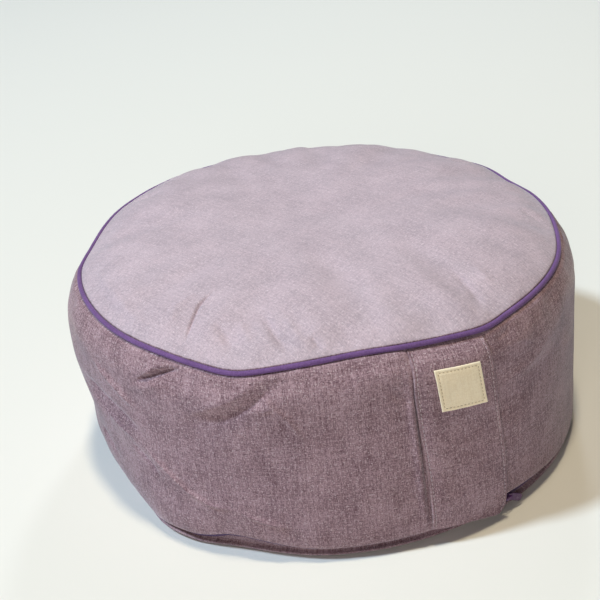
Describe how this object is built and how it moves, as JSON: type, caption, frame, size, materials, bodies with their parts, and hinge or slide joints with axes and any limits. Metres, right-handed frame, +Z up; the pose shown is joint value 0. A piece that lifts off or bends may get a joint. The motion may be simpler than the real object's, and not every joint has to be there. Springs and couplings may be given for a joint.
{
  "type": "meditation cushion",
  "caption": "Round filled meditation cushion of linen cloth with a piped top seam, a zip in its lower seam and a wide carrying strap with a cloth label",
  "frame": {"origin": "the middle of the flat base, on the floor", "axes": "+Z up through the middle of the top panel, -Y the front, where the strap is, +X to the right as seen from the front"},
  "size_m": [0.3816, 0.3808, 0.1745],
  "materials": {
    "linen": "matt chambray linen, lavender with white and brown slubs",
    "piping_cloth": "matt violet cotton",
    "zip_tape": "matt dark violet tape and coil",
    "zip_paint": "satin violet enamel",
    "label_cloth": "matt cream cotton"
  },
  "bodies": {
    "root": {"cushion": "linen", "piping": "piping_cloth", "zip": "zip_tape", "zip_slider": "zip_paint", "zip_pull": "zip_paint", "strap": "linen", "label": "label_cloth"}
  },
  "joints": []
}
